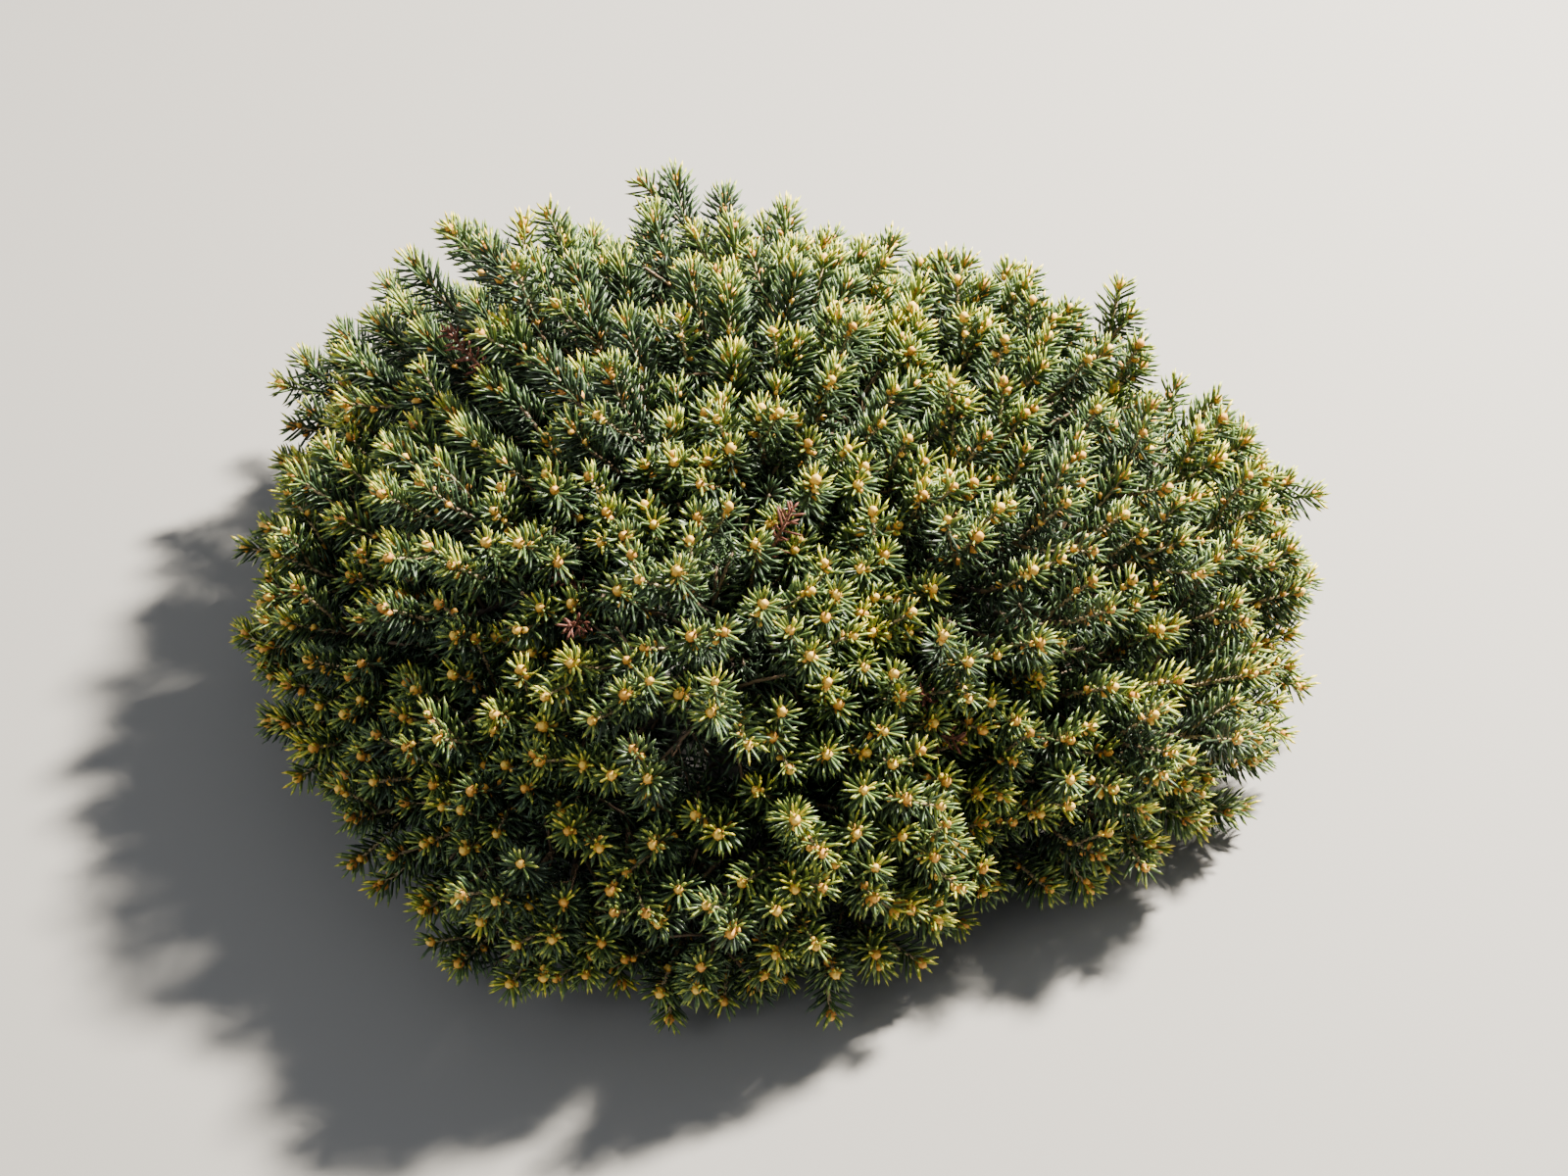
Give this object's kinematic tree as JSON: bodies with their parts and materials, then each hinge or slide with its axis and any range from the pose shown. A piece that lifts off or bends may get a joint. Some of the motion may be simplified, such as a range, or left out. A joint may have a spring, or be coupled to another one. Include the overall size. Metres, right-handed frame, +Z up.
{
  "type": "dwarf cushion spruce shrub",
  "caption": "Low dome-shaped dwarf spruce rooted in the ground: a short flared stem, spreading boughs and dense masses of budded needle shoots.",
  "frame": {"origin": "centre of the flat cut under the stem, at ground level", "axes": "+Z up out of the ground, -Y towards the front of the plant that the picture looks down on, +X to its right"},
  "size_m": [0.4703, 0.4594, 0.2053],
  "materials": {
    "bark": "rough grey-brown bark with fine scales",
    "needles": "satin green needles with orange-brown buds"
  },
  "bodies": {
    "root": {"trunk": "bark", "bough_skirt_1": "bark", "bough_skirt_2": "bark", "bough_skirt_3": "bark", "bough_skirt_4": "bark", "bough_skirt_5": "bark", "bough_skirt_6": "bark", "bough_skirt_7": "bark", "bough_skirt_8": "bark", "bough_shoulder_1": "bark", "bough_shoulder_2": "bark", "bough_shoulder_3": "bark", "bough_shoulder_4": "bark", "bough_shoulder_5": "bark", "bough_shoulder_6": "bark", "bough_top_1": "bark", "bough_top_2": "bark", "bough_top_3": "bark", "foliage_skirt_1": "needles", "foliage_skirt_2": "needles", "foliage_skirt_3": "needles", "foliage_skirt_4": "needles", "foliage_skirt_5": "needles", "foliage_skirt_6": "needles", "foliage_skirt_7": "needles", "foliage_skirt_8": "needles", "foliage_shoulder_1": "needles", "foliage_shoulder_2": "needles", "foliage_shoulder_3": "needles", "foliage_shoulder_4": "needles", "foliage_shoulder_5": "needles", "foliage_shoulder_6": "needles", "foliage_top_1": "needles", "foliage_top_2": "needles", "foliage_top_3": "needles"}
  },
  "joints": []
}
